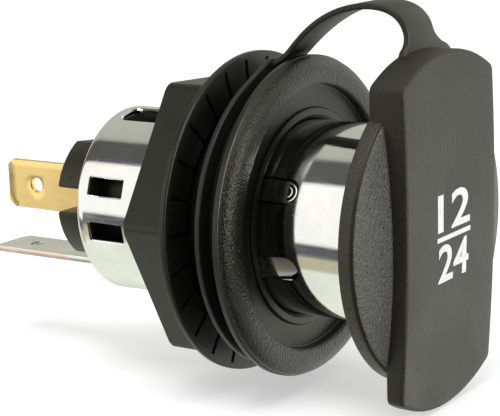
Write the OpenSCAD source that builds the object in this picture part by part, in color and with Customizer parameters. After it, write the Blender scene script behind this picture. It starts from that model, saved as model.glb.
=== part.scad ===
// Panel-mount 12 volt car power socket with a tethered cap.
// Drawn along +Z with the mouth up, then laid down so that the mouth faces -Y and +Z is up.
// Z = 0 in the drawing is the front face of the panel that the socket is fixed in.

/* [Housing] */
// Wall of the neck over its bore
neck_wall = 2.34; // [2:0.02:2.6]
// Width of the raised collar around the bore
collar_w = 1.34; // [1:0.02:1.8]
// Gap around the shell's rim in the recess
recess_play = 1.05; // [0.6:0.05:1.4]
// Width from the recess to the flange's rounded crest
crest_w = 1.35; // [1:0.05:1.8]
// Width from the crest to the flange's edge
flange_w = 2.05; // [1.5:0.05:3]
// Height of the crest above the panel face
flange_crest_z = 5.2; // [4.8:0.1:6]
// Depth of the recess below the crest
recess_depth = 1.3; // [1.1:0.05:1.5]
// Length of the neck behind the panel face
neck_length = 10.8; // [10:0.1:12]
// Pitch of the thread ridges on the neck
thread_pitch = 1.5; // [1.4:0.05:1.6]

/* [Nut] */
// Wall of the nut at a flat
nut_wall = 1.95; // [1.6:0.05:2.4]
// How far the nut's flange stands out over the housing's
nut_flange_over = 0.2; // [-0.2:0.05:0.6]
// Thickness of the nut's flange
nut_flange_t = 0.8; // [0.78:0.02:1]
// Total height of the nut
nut_height = 6.85; // [6.4:0.05:7.2]
// Gap between the panel face and the nut's front
nut_gap = 3.1; // [2.9:0.05:3.3]
// Number of radial grooves on the nut's front
nut_grooves = 26; // [22:1:28]

/* [Socket shell] */
// Outer radius of the metal tube
shell_r = 11.5; // [11.2:0.05:11.7]
// Wall of the metal tube
shell_wall = 0.5; // [0.4:0.05:0.6]
// Front end of the tube above the panel face
mouth_z = 18.2; // [17:0.1:20]
// Width of the rim around the tube
rim_w = 3.1; // [2.5:0.1:3.4]
// Rear end of the tube behind the panel face
shell_rear = 22.3; // [21.5:0.1:24]
// Length of a rectangular window near the rear end
window_length = 4.9; // [4:0.1:5.2]
// Width of a window
window_width = 2.2; // [1.6:0.1:3]
// Length of a lanced contact tongue
tongue_length = 7.6; // [6.5:0.1:9]
// Width of the opening that a tongue is lanced from
tongue_opening_w = 3.1; // [3:0.05:3.2]
// How far a tongue's free end is bent inwards
tongue_bend = 0.6; // [0.4:0.05:0.7]

/* [Insulator and contacts] */
// Gap between the insulator's rear boss and the tube's rear lip
boss_play = 0.9; // [0.5:0.05:1.2]
// Depth of the boss's two flats
boss_flat_cut = 1.5; // [1.4:0.05:1.8]
// How far the boss stands out of the tube
boss_length = 5.5; // [5:0.1:6]
// Width of a blade terminal
blade_w = 6.4; // [6:0.1:6.6]
// Thickness of a blade terminal
blade_t = 0.8; // [0.7:0.05:0.9]
// Length of the positive blade behind the tube
positive_length = 20.7; // [20:0.1:21.5]
// Length of the ground blade behind the tube
ground_length = 21.5; // [21:0.1:22]
// Gap between the boss's lower flat and the ground blade
ground_gap = 0.85; // [0.6:0.05:1]
// Diameter of the hole in a blade
blade_hole_d = 1.9; // [1.7:0.1:2]

/* [Cap] */
// How far the cap's disc stands out over the flange's crest
disc_over = 0.45; // [0:0.05:1]
// Thickness of the cap's disc
disc_t = 1.95; // [1.8:0.05:2.1]
// How far the grip plate's round ends stand out over the disc
grip_over = 3.05; // [2.6:0.05:4.5]
// Width of the grip plate between its straight sides
grip_w = 21.3; // [20.5:0.1:22]
// Thickness of the grip plate at its thickest
grip_t = 4.55; // [4.2:0.05:5.5]
// Depth of the finger lip that the grip's lower end is cut back by
lip_cut = 1.6; // [1.2:0.05:1.65]
// Length of the plug inside the mouth
plug_length = 6.0; // [4:0.1:6.2]
// Wall of the hollow plug
plug_wall = 1.6; // [1.2:0.1:2.4]

/* [Strap] */
// Width of the strap
strap_w = 6.0; // [5:0.1:7]
// Thickness of the strap
strap_t = 0.7; // [0.5:0.05:0.75]
// How far the strap's ring stands out around the neck
ring_w = 4.1; // [3.6:0.05:4.5]
// Thickness of the strap's ring
ring_t = 0.8; // [0.76:0.02:1]
// Height of the loop's crown over the cap's top edge
loop_rise = 4.8; // [4:0.1:6]

/* [Hidden] */

PLASTIC = [0.10, 0.10, 0.11];
SOFT_PLASTIC = [0.14, 0.14, 0.15];
NICKEL = [0.80, 0.81, 0.82];
BRASS = [0.85, 0.70, 0.40];
TINNED = [0.84, 0.82, 0.80];
ROUND = 96;
FINE = 32;
BITE = 0.01;
CUT = 60;

// Turn of the shell's windows and tongues, from the -X side towards +Z
pattern_turn = 4;
window_turn = 14;
window_rear_gap = 1.9;
tongue_turn = 22.9;
tongue_from_mouth = 9.2;
tongue_tip_z = mouth_z - tongue_from_mouth;
tongue_gap = 0.2;
tongue_root = 0.4;
tongue_thinned = 0.06;
shell_bore_r = shell_r - shell_wall;
rim_t = 0.8;
rear_corner_r = 1.2;
rear_lip_w = 2.1;
rear_lip_r = shell_r - rear_lip_w;
rim_r = shell_r + rim_w;
mouth_round = 0.5;
rim_fillet = 0.4;

slide_play = 0.06;
housing_bore_r = shell_r + slide_play;
neck_r = housing_bore_r + neck_wall;
collar_r = housing_bore_r + collar_w;
recess_r = rim_r + recess_play;
flange_crest_r = recess_r + crest_w;
flange_r = flange_crest_r + flange_w;
ring_r = neck_r + ring_w;
ring_play = 0.1;
hub_set_back = 1.6;
hub_length = 2.4;
hub_r = ring_r - hub_set_back;
hub_z = ring_t + 0.02;
flange_edge_z = ring_t + hub_length;
flange_band = 0.7;
flange_break = 0.2;
recess_round = 0.35;
recess_floor_z = flange_crest_z - recess_depth;
collar_rise = 0.5;
collar_z = recess_floor_z + collar_rise;
collar_round = 0.25;
bore_lead = 0.5;
thread_depth = 0.45;
thread_plain = 4.2;
thread_from_end = 1.1;
thread_run = neck_length - thread_plain;
neck_break = 0.6;
key_turn = 5;
key_w = 3.5;
key_height = 0.7;
key_from_nut = 0.4;
key_r = neck_r + key_height;
key_length = nut_gap - key_from_nut;
ring_bore_r = key_r + ring_play;

nut_turn = -2.7;
nut_play = 0.08;
nut_bore_r = neck_r + nut_play;
nut_across_flats = 2 * (neck_r + nut_wall);
nut_flange_r = flange_r + nut_flange_over;
nut_edge_break = 0.25;
nut_relief_play = 0.2;
nut_relief_r = key_r + nut_relief_play;
nut_relief_depth = 2.6;
nut_chamfer = 0.35;
groove_w = 0.5;
groove_depth = 0.3;
groove_turn = 12.7;
groove_rim = 0.7;
groove_from_relief = 0.1;
groove_in_r = nut_relief_r + groove_from_relief;

boss_r = rear_lip_r - boss_play;
boss_flat = boss_r - boss_flat_cut;
insulator_play = 0.05;
insulator_seat_r = shell_bore_r - insulator_play;
insulator_seat_t = 1.4;
insulator_seat_bevel = 0.8;
insulator_core_l = 7.0;
ground_drop = boss_flat + ground_gap + blade_t / 2;
notch_w = 3.0;
notch_up = 0.7;
blade_slot_play = 0.04;
blade_up = 0.15;
blade_taper = 0.5;
blade_corner = 1.1;
blade_hole_from_end = 5.0;
blade_bevel_l = 0.9;
blade_in_tube = 5.8;
blade_inner_end = shell_rear - blade_in_tube;
foot_length = 1.9;
contact_r = 3.0;
contact_stem_r = 1.6;
contact_height = 2.4;
contact_side = 0.8;
face_gap = 0.02;

disc_gap = 0.05;
disc_z = mouth_z + disc_gap;
disc_r = flange_crest_r + disc_over;
grip_r = disc_r + grip_over;
grip_set_back = 0.2;
grip_rear_z = disc_z + grip_set_back;
grip_dome_r = 286;
grip_dome_up = 5;
plug_play = 0.35;
plug_taper = 0.62;
plug_edge = 0.4;
plug_base_r = shell_bore_r - plug_play;
plug_end_r = plug_base_r - plug_taper;
grip_front_z = grip_rear_z + grip_t;
grip_edge = 0.5;
grip_end_drop = 1.3;
lip_from_axis = 5;
root_rise = 0.5;
root_depth = 1.1;
root_top = grip_r + root_rise;
root_foot = grip_r - root_depth;
root_flare = 1.2;
root_gap = 0.1;

// Strap's centre line as points [along the axis, up]
strap_foot_in = 0.8;
strap_over_edge = 0.4;
strap_lead = 0.5;
strap_end_in = 0.73;
crown_back = 5;
foot_pull = 1.7;
flange_pull = [1.35, 1.03];
crown_pull_rear = 5.8;
crown_pull_front = 3.2;
end_pull = 2.8;
strap_foot = [ring_t / 2, ring_r - strap_foot_in];
strap_over_flange = [flange_edge_z - strap_lead, flange_r + strap_over_edge];
strap_end = [disc_z + strap_end_in, root_top + root_gap];
strap_crown = [strap_end[0] - crown_back, grip_r + loop_rise];

function bezier(a, b, c, d, t) =
    pow(1 - t, 3) * a + 3 * t * pow(1 - t, 2) * b + 3 * t * t * (1 - t) * c + pow(t, 3) * d;
function curve(a, b, c, d, steps) = [for (i = [0 : steps - 1]) bezier(a, b, c, d, i / steps)];
strap_line = concat(
    curve(strap_foot, strap_foot + [0, foot_pull], strap_over_flange - flange_pull,
          strap_over_flange, 8),
    curve(strap_over_flange, strap_over_flange + flange_pull, strap_crown - [crown_pull_rear, 0],
          strap_crown, 14),
    curve(strap_crown, strap_crown + [crown_pull_front, 0], strap_end + [0, end_pull],
          strap_end, 10),
    [strap_end]);

function unit(v) = v / norm(v);
function heading(line, i) = unit(line[min(i + 1, len(line) - 1)] - line[max(i - 1, 0)]);
function beside(line, i, d) = line[i] + d * [-heading(line, i)[1], heading(line, i)[0]];
function band(line, t) = concat(
    [for (i = [0 : len(line) - 1]) beside(line, i, t / 2)],
    [for (i = [len(line) - 1 : -1 : 0]) beside(line, i, -t / 2)]);
function arc(centre, r, from, to, steps) =
    [for (i = [0 : steps]) centre + r * [cos(from + (to - from) * i / steps),
                                        sin(from + (to - from) * i / steps)]];

// Lays a shape drawn with its mouth along +Z down, so that the mouth faces -Y
module laid() {
    rotate([90, 0, 0]) children();
}

// Turns a shape on the +X side to an angle measured from the -X side towards +Z
module at_turn(angle) {
    rotate([0, 0, 180 - angle]) children();
}

// Half section of the flange, hub, collar and neck
module housing_section() {
    crest_rise = flange_crest_z - flange_edge_z - flange_band;
    polygon(concat(
        [[neck_r, hub_z], [hub_r, hub_z], [hub_r, flange_edge_z],
         [flange_r - flange_break, flange_edge_z], [flange_r, flange_edge_z + flange_break],
         [flange_r, flange_edge_z + flange_band]],
        [for (a = [15 : 15 : 75])
            [flange_crest_r + (flange_r - flange_crest_r) * cos(a),
             flange_edge_z + flange_band + crest_rise * sin(a)]],
        [[flange_crest_r, flange_crest_z]],
        [for (a = [30 : 30 : 90])
            [flange_crest_r - (flange_crest_r - recess_r) * sin(a),
             flange_crest_z - recess_round * (1 - cos(a))]],
        [[recess_r, recess_floor_z], [collar_r, recess_floor_z]],
        arc([collar_r - collar_round, collar_z - collar_round], collar_round, 0, 90, 4),
        [[housing_bore_r + bore_lead, collar_z], [housing_bore_r, collar_z - bore_lead],
         [housing_bore_r, -neck_length + bore_lead],
         [housing_bore_r + bore_lead, -neck_length],
         [neck_r - neck_break, -neck_length], [neck_r, -neck_length + neck_break]]));
}

// Rounded valleys between the thread ridges
module thread_valleys() {
    valleys = floor(thread_run / thread_pitch);
    for (i = [0 : valleys - 1])
        translate([neck_r, -neck_length + thread_from_end + i * thread_pitch])
            polygon([[0.1, -thread_pitch * 0.42], [-thread_depth, -thread_pitch * 0.08],
                     [-thread_depth, thread_pitch * 0.08], [0.1, thread_pitch * 0.42]]);
}

module housing() {
    color(PLASTIC) laid() {
        rotate_extrude($fn = ROUND) difference() {
            housing_section();
            thread_valleys();
        }
        at_turn(key_turn)
            translate([neck_r - 0.5, -key_w / 2, -key_length])
                cube([key_r - neck_r + 0.5, key_w, key_length + BITE]);
    }
}

// One radial groove in the nut's front face
module nut_groove() {
    translate([groove_in_r, -groove_w / 2, -groove_depth])
        cube([nut_flange_r - groove_rim - groove_in_r, groove_w, groove_depth + 1]);
}

module nut_body_section() {
    polygon([[nut_bore_r - 1, 0], [nut_flange_r - nut_edge_break, 0],
             [nut_flange_r, -nut_edge_break], [nut_flange_r, -nut_flange_t + nut_edge_break],
             [nut_flange_r - nut_edge_break, -nut_flange_t], [nut_bore_r - 1, -nut_flange_t]]);
}

// Hexagon with the corners turned down at its rear end
module nut_hexagon() {
    corner_r = nut_across_flats / 2 / cos(30);
    hex_h = nut_height - nut_flange_t;
    intersection() {
        translate([0, 0, -nut_height]) rotate([0, 0, nut_turn])
            cylinder(r = corner_r, h = hex_h + BITE, $fn = 6);
        rotate_extrude($fn = ROUND)
            polygon([[0, -nut_height], [corner_r - nut_chamfer, -nut_height],
                     [corner_r + 0.3, -nut_height + nut_chamfer],
                     [corner_r + 0.3, 0], [0, 0]]);
    }
}

module hex_nut() {
    color(PLASTIC) laid() translate([0, 0, -nut_gap]) difference() {
        union() {
            rotate_extrude($fn = ROUND) nut_body_section();
            nut_hexagon();
        }
        translate([0, 0, -nut_height - 1]) cylinder(r = nut_bore_r, h = nut_height + 2, $fn = ROUND);
        translate([0, 0, -nut_relief_depth])
            cylinder(r = nut_relief_r, h = nut_relief_depth + 1, $fn = ROUND);
        for (i = [0 : nut_grooves - 1])
            rotate([0, 0, groove_turn + i * 360 / nut_grooves]) nut_groove();
    }
}

// Half section of the drawn tube: rolled rim, wall, rounded rear corner and turned-in lip
module shell_section() {
    corner = [shell_r - rear_corner_r, -shell_rear + rear_corner_r];
    polygon(concat(
        arc([shell_bore_r + mouth_round, mouth_z - mouth_round], mouth_round, 180, 90, 5),
        arc([rim_r - rim_t / 2, mouth_z - rim_t / 2], rim_t / 2, 90, -90, 8),
        arc([shell_r + rim_fillet, mouth_z - rim_t - rim_fillet], rim_fillet, 90, 180, 4),
        arc(corner, rear_corner_r, 0, -90, 6),
        [[rear_lip_r, -shell_rear], [rear_lip_r, -shell_rear + shell_wall]],
        arc(corner, rear_corner_r - shell_wall, -90, 0, 5)));
}

// Outline of a lanced tongue or its opening, round at the front end
module tongue_outline(width, length) {
    translate([-length, -width / 2]) square([length - width / 2, width]);
    translate([-width / 2, 0]) circle(d = width, $fn = FINE);
}

// The outline pushed radially through the wall, with its round end at tongue_tip_z
module tongue_cutter(width, length, tip) {
    translate([shell_bore_r - 2, 0, tip]) rotate([0, 90, 0]) rotate([0, 0, 180])
        linear_extrude(height = 4) tongue_outline(width, length);
}

// Wall drawn in towards the tongue's free end, a little thinner than the tube's and rooted in it
module bent_wall() {
    hinge_z = tongue_tip_z - tongue_length - tongue_root;
    rotate_extrude($fn = ROUND)
        polygon([[shell_bore_r + tongue_thinned, hinge_z], [shell_r - tongue_thinned, hinge_z],
                 [shell_r - tongue_thinned - tongue_bend, tongue_tip_z],
                 [shell_bore_r + tongue_thinned - tongue_bend, tongue_tip_z]]);
}

module tongues() {
    for (half = [0, 180], side = [-1, 1])
        at_turn(pattern_turn + half + side * tongue_turn) intersection() {
            bent_wall();
            tongue_cutter(tongue_opening_w - 2 * tongue_gap, tongue_length + 1,
                          tongue_tip_z - tongue_gap);
        }
}

module shell_openings() {
    window_z = -shell_rear + window_rear_gap;
    for (quarter = [0 : 90 : 270], side = [-1, 1])
        at_turn(pattern_turn + quarter + side * window_turn)
            translate([shell_bore_r - 2, -window_width / 2, window_z])
                cube([4, window_width, window_length]);
    for (half = [0, 180], side = [-1, 1])
        at_turn(pattern_turn + half + side * tongue_turn)
            tongue_cutter(tongue_opening_w, tongue_length, tongue_tip_z);
}

module socket_shell() {
    color(NICKEL) laid() {
        difference() {
            rotate_extrude($fn = ROUND) shell_section();
            shell_openings();
        }
        tongues();
    }
}

// Slot for the positive blade, open to the -X side through a notch
module blade_passage() {
    translate([-blade_t / 2 - blade_slot_play, blade_up - blade_w / 2 - blade_slot_play,
               -shell_rear - boss_length - 1])
        cube([blade_t + 2 * blade_slot_play, blade_w + 2 * blade_slot_play,
              shell_rear + boss_length + 1 - blade_inner_end]);
    translate([-boss_r - 1, notch_up - notch_w / 2, -shell_rear - boss_length - 1])
        cube([boss_r + 1, notch_w, boss_length + 1 + 0.6]);
}

module rear_insulator() {
    seat_z = -shell_rear + shell_wall + face_gap;
    bevel = insulator_seat_bevel;
    color(PLASTIC) laid() difference() {
        union() {
            intersection() {
                translate([0, 0, -shell_rear - boss_length])
                    cylinder(r = boss_r, h = boss_length + 2, $fn = ROUND);
                translate([-boss_r, -boss_flat, -CUT]) cube([2 * boss_r, 2 * boss_flat, CUT]);
            }
            translate([0, 0, seat_z])
                cylinder(r1 = insulator_seat_r - bevel, r2 = insulator_seat_r, h = bevel, $fn = ROUND);
            translate([0, 0, seat_z + bevel])
                cylinder(r = insulator_seat_r, h = insulator_seat_t - bevel, $fn = ROUND);
            translate([0, 0, seat_z + insulator_seat_t - BITE])
                cylinder(r = boss_r, h = insulator_core_l - insulator_seat_t, $fn = ROUND);
        }
        blade_passage();
        translate([0, 0, -blade_inner_end - BITE])
            cylinder(r = contact_stem_r + blade_slot_play, h = insulator_core_l, $fn = ROUND);
    }
}

// Domed button on a stem that stands on the positive blade's inner end
module centre_contact() {
    head_z = -shell_rear + shell_wall + insulator_core_l + 2 * face_gap;
    color(BRASS) laid() rotate_extrude($fn = ROUND)
        polygon(concat(
            [[0, -blade_inner_end], [contact_stem_r, -blade_inner_end],
             [contact_stem_r, head_z], [contact_r, head_z], [contact_r, head_z + contact_side]],
            [for (a = [15 : 15 : 75])
                [contact_r * cos(a),
                 head_z + contact_side + (contact_height - contact_side) * sin(a)]],
            [[0, head_z + contact_height]]));
}

// Blade outline with its free end at -X and cut corners
module blade_outline(length) {
    difference() {
        polygon([[0, -blade_w / 2], [0, blade_w / 2], [-length + blade_corner, blade_w / 2],
                 [-length, blade_w / 2 - blade_corner * 0.7],
                 [-length, -blade_w / 2 + blade_corner * 0.7],
                 [-length + blade_corner, -blade_w / 2]]);
        translate([-length + blade_hole_from_end, 0]) circle(d = blade_hole_d, $fn = FINE);
    }
}

// Long section of a blade, thinned at its free end
module blade_side(length) {
    polygon([[0, -blade_t / 2], [0, blade_t / 2], [-length + blade_bevel_l, blade_t / 2],
             [-length, blade_t / 2 - blade_taper * 0.5],
             [-length, -blade_t / 2 + blade_taper * 0.5], [-length + blade_bevel_l, -blade_t / 2]]);
}

module blade(length) {
    intersection() {
        translate([0, 0, -2]) linear_extrude(height = 4) blade_outline(length);
        rotate([90, 0, 0]) translate([0, 0, -blade_w]) linear_extrude(height = 2 * blade_w)
            blade_side(length);
    }
}

module positive_blade() {
    inner_end = blade_inner_end + face_gap;
    color(BRASS) laid() translate([0, blade_up, -inner_end])
        rotate([0, -90, 0]) blade(positive_length + shell_rear - inner_end);
}

// The blade with a foot turned down against the tube's rear lip
module ground_blade() {
    foot_top = -ground_drop + blade_t / 2;
    color(TINNED) laid() translate([0, 0, -shell_rear - face_gap]) {
        translate([0, -ground_drop, 0]) rotate([0, 0, 90]) rotate([0, -90, 0])
            blade(ground_length);
        translate([-blade_w / 2, foot_top - blade_t - foot_length, -blade_t])
            cube([blade_w, blade_t + foot_length, blade_t]);
    }
}

// Round ends of the grip plate, from the tube's side to the front
module grip_rounds() {
    rotate_extrude($fn = 2 * ROUND)
        polygon([[0, grip_rear_z], [grip_r, grip_rear_z], [grip_r, grip_front_z - grip_end_drop],
                 [grip_r - grip_edge, grip_front_z - grip_end_drop + grip_edge],
                 [grip_r - grip_edge, grip_front_z], [0, grip_front_z]]);
}

// Straight sides of the grip plate with bevelled front edges
module grip_sides() {
    rotate([90, 0, 0]) translate([0, 0, -CUT / 2]) linear_extrude(height = CUT)
        polygon([[-grip_w / 2, grip_rear_z], [grip_w / 2, grip_rear_z],
                 [grip_w / 2, grip_front_z - grip_edge],
                 [grip_w / 2 - grip_edge, grip_front_z],
                 [-grip_w / 2 + grip_edge, grip_front_z],
                 [-grip_w / 2, grip_front_z - grip_edge]]);
}

// Wide dome of the grip's front face, highest a little above the axis
module grip_dome() {
    translate([0, grip_dome_up, grip_front_z - grip_dome_r]) rotate([0, 90, 0])
        cylinder(r = grip_dome_r, h = CUT, center = true, $fn = 720);
}

module grip_plate() {
    difference() {
        intersection() {
            grip_rounds();
            grip_sides();
            grip_dome();
        }
        translate([-CUT / 2, -CUT, grip_rear_z - 1]) cube([CUT, CUT - lip_from_axis, 1 + lip_cut]);
    }
}

// Hollow plug, narrower at its end so that it can swing out of the mouth
module cap_plug() {
    end_z = disc_z - plug_length;
    rotate_extrude($fn = ROUND)
        polygon([[plug_base_r - plug_wall, disc_z + 0.5], [plug_base_r, disc_z + 0.5],
                 [plug_base_r, disc_z], [plug_end_r, end_z + plug_edge],
                 [plug_end_r - plug_edge, end_z], [plug_end_r - plug_wall + plug_edge, end_z],
                 [plug_end_r - plug_wall, end_z + plug_edge], [plug_base_r - plug_wall, disc_z]]);
}

// Flared root on the cap's top that the strap runs into
module strap_root() {
    rear_z = strap_end[0] - strap_t / 2;
    front_z = strap_end[0] + strap_t / 2;
    intersection() {
        linear_extrude(height = CUT)
            polygon(concat(
                arc([-strap_w / 2 - root_flare, root_top], root_flare, 270, 360, 6),
                arc([strap_w / 2 + root_flare, root_top], root_flare, 180, 270, 6),
                [[strap_w / 2 + root_flare, root_foot], [-strap_w / 2 - root_flare, root_foot]]));
        rotate([0, -90, 0]) linear_extrude(height = CUT, center = true)
            polygon(concat(
                [[rear_z, root_foot], [rear_z, root_top]],
                arc([front_z + root_flare, root_top], root_flare, 180, 270, 6),
                [[front_z + root_flare, root_foot]]));
    }
}

module cap() {
    color(SOFT_PLASTIC) laid() {
        translate([0, 0, disc_z]) cylinder(r = disc_r, h = disc_t, $fn = ROUND);
        grip_plate();
        cap_plug();
        strap_root();
    }
}

// Flat ring that hangs on the neck behind the flange
module ring_disc() {
    difference() {
        cylinder(r = ring_r, h = ring_t, $fn = ROUND);
        translate([0, 0, -1]) cylinder(r = ring_bore_r, h = ring_t + 2, $fn = ROUND);
    }
}

module cap_strap() {
    color(SOFT_PLASTIC) laid() {
        ring_disc();
        rotate([0, -90, 0]) linear_extrude(height = strap_w, center = true)
            polygon(band(strap_line, strap_t));
    }
}

housing();
hex_nut();
socket_shell();
rear_insulator();
centre_contact();
positive_blade();
ground_blade();
cap();
cap_strap();
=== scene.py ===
"""Car 12 volt panel socket with a tethered cap: its dressed pieces, the camera and the light."""

import math

import bmesh
import bpy
import numpy as np
from mathutils import Matrix, Vector
from mathutils.geometry import delaunay_2d_cdt

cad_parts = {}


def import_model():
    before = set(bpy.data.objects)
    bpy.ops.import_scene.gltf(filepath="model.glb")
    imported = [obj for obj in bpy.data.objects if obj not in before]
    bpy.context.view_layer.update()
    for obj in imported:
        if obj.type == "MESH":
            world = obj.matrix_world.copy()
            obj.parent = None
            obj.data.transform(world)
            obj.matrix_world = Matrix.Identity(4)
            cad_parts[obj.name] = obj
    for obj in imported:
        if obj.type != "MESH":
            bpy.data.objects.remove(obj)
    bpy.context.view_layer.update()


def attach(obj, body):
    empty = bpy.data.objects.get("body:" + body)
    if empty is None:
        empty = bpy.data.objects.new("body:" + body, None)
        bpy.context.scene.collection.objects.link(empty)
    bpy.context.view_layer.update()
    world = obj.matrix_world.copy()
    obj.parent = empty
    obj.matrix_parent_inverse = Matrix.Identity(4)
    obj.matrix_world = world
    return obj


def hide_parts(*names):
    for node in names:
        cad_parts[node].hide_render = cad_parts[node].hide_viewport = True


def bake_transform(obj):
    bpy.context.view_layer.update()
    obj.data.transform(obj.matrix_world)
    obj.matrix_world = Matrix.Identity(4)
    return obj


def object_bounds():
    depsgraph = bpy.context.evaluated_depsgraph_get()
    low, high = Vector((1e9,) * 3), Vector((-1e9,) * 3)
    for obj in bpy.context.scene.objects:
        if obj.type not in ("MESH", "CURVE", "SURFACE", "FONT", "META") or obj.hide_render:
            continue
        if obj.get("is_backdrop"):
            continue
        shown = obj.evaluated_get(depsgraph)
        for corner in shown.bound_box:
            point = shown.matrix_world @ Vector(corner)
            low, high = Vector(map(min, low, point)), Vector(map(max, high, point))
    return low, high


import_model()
TURN = 2 * math.pi
MM = 0.001

# Sizes in millimetres, as in the part's source. z runs out of the mouth from the panel face.
SHELL_R = 11.5
BORE_R = 11.0
MOUTH_Z = 18.2
REAR_Z = -22.3
REAR_LIP_R = 9.4
REAR_BEND = 1.2
RIM_R = 14.6
HOUSING_BORE_R = 11.56
NECK_R = 13.9
KEY_R = 14.6
PITCH = 1.5
THREAD_Z = -9.7
HUB_R = 16.4
FLANGE_R = 19.05
CREST_R = 17.0
CREST_Z = 5.2
RECESS_R = 15.65
RECESS_Z = 3.9
COLLAR_R = 12.9
RING_R = 18.0
RING_BORE_R = 14.7
RING_T = 0.8
NUT_BORE_R = 13.98
NUT_FRONT_Z = -3.1
NUT_FLANGE_R = 19.25
NUT_FLAT_R = 15.85
NUT_RELIEF_R = 14.8
NUT_HEIGHT = 6.85
NUT_GROOVES = 26
BOSS_R = 8.5
BOSS_FLAT = 7.0
BOSS_END = -27.8
BLADE_HALF = 3.2
TERMINAL_HOLE_R = 0.95
DISC_R = 17.45
DISC_Z = 18.25
DISC_T = 1.95
DISC_CROWN = 1.6
GRIP_R = 20.5
GRIP_HALF = 10.65
GRIP_REAR = 18.45
GRIP_FRONT = 23.0
PRINT_PROUD = 0.012
PRINT_SUNK = 0.05


def lay(p):
    """A drawing point in millimetres, mouth along +z, as a point of the row frame in metres."""
    return (p[0] * MM, -p[2] * MM, p[1] * MM)


def polar(r, a, z):
    """A point at radius r and angle a, from the -X side towards the top."""
    return (-r * math.cos(a), r * math.sin(a), z)


def as_drawn(x, y, z):
    return (x, y, z)


def left_of(d):
    """The unit vector to the left of a direction."""
    return np.array([-d[1], d[0]]) / max(np.linalg.norm(d), 1e-12)


def linked(name, data):
    """A new object in the scene."""
    obj = bpy.data.objects.new(name, data)
    bpy.context.scene.collection.objects.link(obj)
    return obj


class Maker:
    """Collects faces in drawing millimetres and turns them into one object."""

    def __init__(self):
        self.points = []
        self.index = {}
        self.faces = []
        self.normals = []
        self.slots = []

    def add(self, p):
        """The number of a point; points closer than a tenth of a micrometre are one."""
        key = tuple(round(v, 4) for v in p)
        if key not in self.index:
            self.index[key] = len(self.points)
            self.points.append(lay(p))
        return self.index[key]

    def face(self, points, normals=None, slot=0):
        """Adds a face, turned to suit its corners' normals if they are given."""
        numbers = [self.add(p) for p in points]
        ids = list(dict.fromkeys(numbers))
        if len(ids) < 3:
            return
        loops = None
        if normals is not None:
            loops = [Vector(lay(normals[numbers.index(i)])).normalized() for i in ids]
            a, b, c = (Vector(self.points[i]) for i in ids[:3])
            own = (b - a).cross(c - a)
            if own.length < 1e-14 and len(ids) > 3:
                own = (c - a).cross(Vector(self.points[ids[3]]) - a)
            if own.dot(sum(loops, Vector())) < 0:
                ids.reverse()
                loops.reverse()
        self.faces.append(ids)
        self.normals.append(loops)
        self.slots.append(slot)

    def build(self, name, looks, angle=32):
        """Makes the object; without given normals, edges sharper than the angle are creased."""
        mesh = bpy.data.meshes.new(name)
        mesh.from_pydata(self.points, [], self.faces)
        for look in looks:
            mesh.materials.append(look)
        mesh.polygons.foreach_set("material_index", self.slots)
        mesh.polygons.foreach_set("use_smooth", [True] * len(self.faces))
        if all(loops is not None for loops in self.normals):
            mesh.normals_split_custom_set([n for loops in self.normals for n in loops])
        else:
            bm = bmesh.new()
            bm.from_mesh(mesh)
            bmesh.ops.recalc_face_normals(bm, faces=bm.faces)
            bm.to_mesh(mesh)
            bm.free()
            mesh.set_sharp_from_angle(angle=math.radians(angle))
        mesh.update()
        return linked(name, mesh)


def rounded(corners, steps=5, closed=True):
    """Points of an outline whose corners (x, y, radius) are turned into arcs."""
    out = []
    count = len(corners)
    for i, corner in enumerate(corners):
        p = np.array(corner[:2], float)
        radius = corner[2] if len(corner) > 2 else 0
        end = not closed and i in (0, count - 1)
        if radius <= 0 or end:
            out.append(p)
            continue
        a = np.array(corners[i - 1][:2], float) - p
        b = np.array(corners[(i + 1) % count][:2], float) - p
        la, lb = np.linalg.norm(a), np.linalg.norm(b)
        a, b = a / la, b / lb
        half = math.acos(max(-1.0, min(1.0, float(a @ b)))) / 2
        reach = min(radius / math.tan(half), 0.49 * la, 0.49 * lb)
        radius = reach * math.tan(half)
        middle = p + (a + b) / np.linalg.norm(a + b) * (radius / math.sin(half))
        first, last = p + a * reach - middle, p + b * reach - middle
        start = math.atan2(first[1], first[0])
        sweep = math.atan2(last[1], last[0]) - start
        sweep = (sweep + math.pi) % TURN - math.pi
        for k in range(steps + 1):
            t = start + sweep * k / steps
            out.append(middle + radius * np.array([math.cos(t), math.sin(t)]))
    return out


def area(loop):
    """Signed area of a loop, positive when it runs counter-clockwise."""
    pts = np.array(loop)
    nxt = np.roll(pts, -1, axis=0)
    return 0.5 * float(np.sum(pts[:, 0] * nxt[:, 1] - nxt[:, 0] * pts[:, 1]))


def side_normals(line, closed, outward):
    """For each segment of a half section, the normals at its two ends, smooth below 35 degrees."""
    count = len(line) if closed else len(line) - 1
    flat = [-outward * left_of(line[(i + 1) % len(line)] - line[i]) for i in range(count)]
    ends = []
    for i, own in enumerate(flat):
        pair = []
        for other in (i - 1, i + 1):
            near = own
            if closed or 0 <= other < count:
                both = flat[other % count] + own
                if float(flat[other % count] @ own) > math.cos(math.radians(35)):
                    near = both / np.linalg.norm(both)
            pair.append(near)
        ends.append(pair)
    return ends


def turn_about(maker, line, columns, closed=True, outward=None):
    """Turns a half section of (r, z) points about the axis, with exact normals."""
    if outward is None:
        outward = 1 if area(line) > 0 else -1
    for i, (first, last) in enumerate(side_normals(line, closed, outward)):
        p, q = line[i], line[(i + 1) % len(line)]
        if np.abs(p - q).sum() < 1e-6:
            continue
        for j, a in enumerate(columns):
            b = columns[(j + 1) % len(columns)]
            corners = ((p, first, a), (q, last, a), (q, last, b), (p, first, b))
            maker.face([polar(at[0], t, at[1]) for at, _, t in corners],
                       [polar(n[0], t, n[1]) for _, n, t in corners])


def even(count, start=0.0):
    """Angles at an even pitch around a turn."""
    return [start + TURN * i / count for i in range(count)]


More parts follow.
